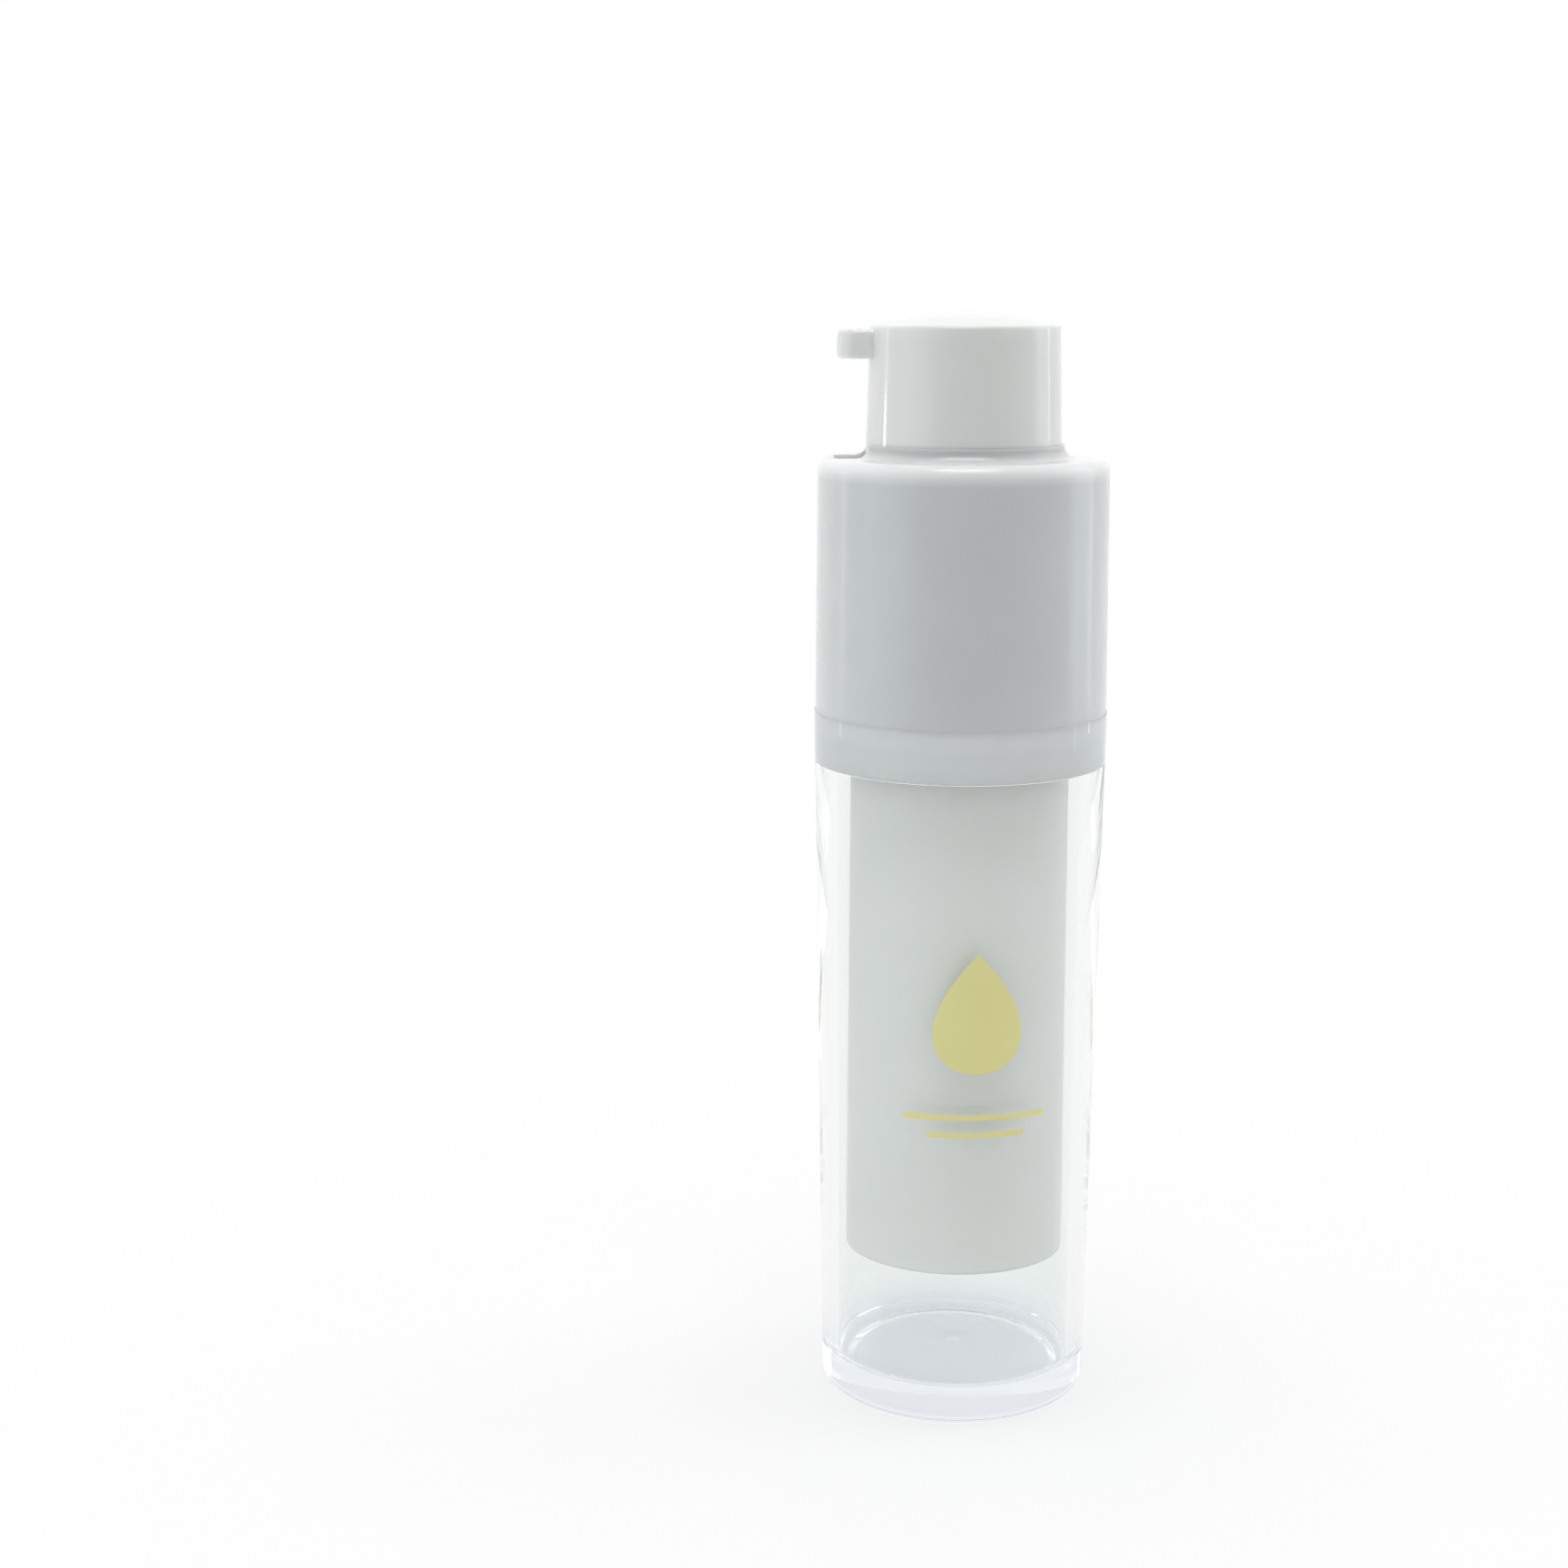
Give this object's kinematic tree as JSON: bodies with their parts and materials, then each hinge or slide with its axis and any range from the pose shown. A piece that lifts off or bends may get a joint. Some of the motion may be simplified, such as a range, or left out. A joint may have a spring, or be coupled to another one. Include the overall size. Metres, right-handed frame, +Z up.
{
  "type": "airless pump bottle",
  "caption": "Airless cosmetic pump bottle: clear outer bottle, inner bottle with follower piston, and a white collar that twists to raise or lower the pump head.",
  "frame": {"origin": "centre of the base, on the surface that the bottle stands on", "axes": "+Z up along the axis of the bottle, the spout points to -X"},
  "size_m": [0.0362, 0.036, 0.1356],
  "materials": {
    "clear_acrylic": "clear, polished",
    "white_gloss": "high gloss",
    "milky_plastic": "satin, milky",
    "natural_plastic": "satin",
    "soft_plastic": "waxy",
    "seal_rubber": "matt",
    "spring_steel": "drawn wire",
    "glass_ball": "polished"
  },
  "bodies": {
    "bottle": {"outer_bottle": "clear_acrylic", "cam_sleeve": "natural_plastic"},
    "collar": {"collar": "white_gloss", "guide_sleeve": "natural_plastic"},
    "cartridge": {"inner_bottle": "milky_plastic", "base_plug": "milky_plastic", "lift_ring": "natural_plastic", "housing_gasket": "seal_rubber", "pump_housing": "natural_plastic", "valve_cage": "natural_plastic", "stem_guide": "natural_plastic", "return_spring": "spring_steel"},
    "head": {"actuator_shell": "white_gloss", "actuator_core": "natural_plastic", "nozzle_insert": "natural_plastic", "pump_stem": "natural_plastic", "stem_plug": "natural_plastic"},
    "pump_piston": {"pump_piston": "soft_plastic"},
    "follower": {"follower_piston": "soft_plastic"},
    "inlet_ball": {"inlet_ball": "glass_ball"}
  },
  "joints": [
    {"name": "twist", "type": "hinge", "parent": "bottle", "child": "collar", "pos_m": [0, 0, 0.0876], "axis": [0, 0, 1], "range_deg": [-120, 0]},
    {"name": "lift", "type": "slide", "parent": "collar", "child": "cartridge", "axis": [0, 0, 1], "range_m": [-0.014, 0]},
    {"name": "press", "type": "slide", "parent": "cartridge", "child": "head", "axis": [0, 0, 1], "range_m": [-0.0045, 0], "stiffness_N_per_m": 1000, "springref_m": 0.005, "deforming": ["return_spring"]},
    {"name": "piston_slip", "type": "slide", "parent": "head", "child": "pump_piston", "axis": [0, 0, 1], "range_m": [0, 0.0008]},
    {"name": "follower_rise", "type": "slide", "parent": "cartridge", "child": "follower", "axis": [0, 0, 1], "range_m": [0, 0.0476]},
    {"name": "inlet_valve", "type": "slide", "parent": "cartridge", "child": "inlet_ball", "axis": [0, 0, 1], "range_m": [0, 0.0008]}
  ],
  "couplings": [
    {"joint": "lift", "follows": "twist", "m_per_rad": 0.0066845}
  ]
}
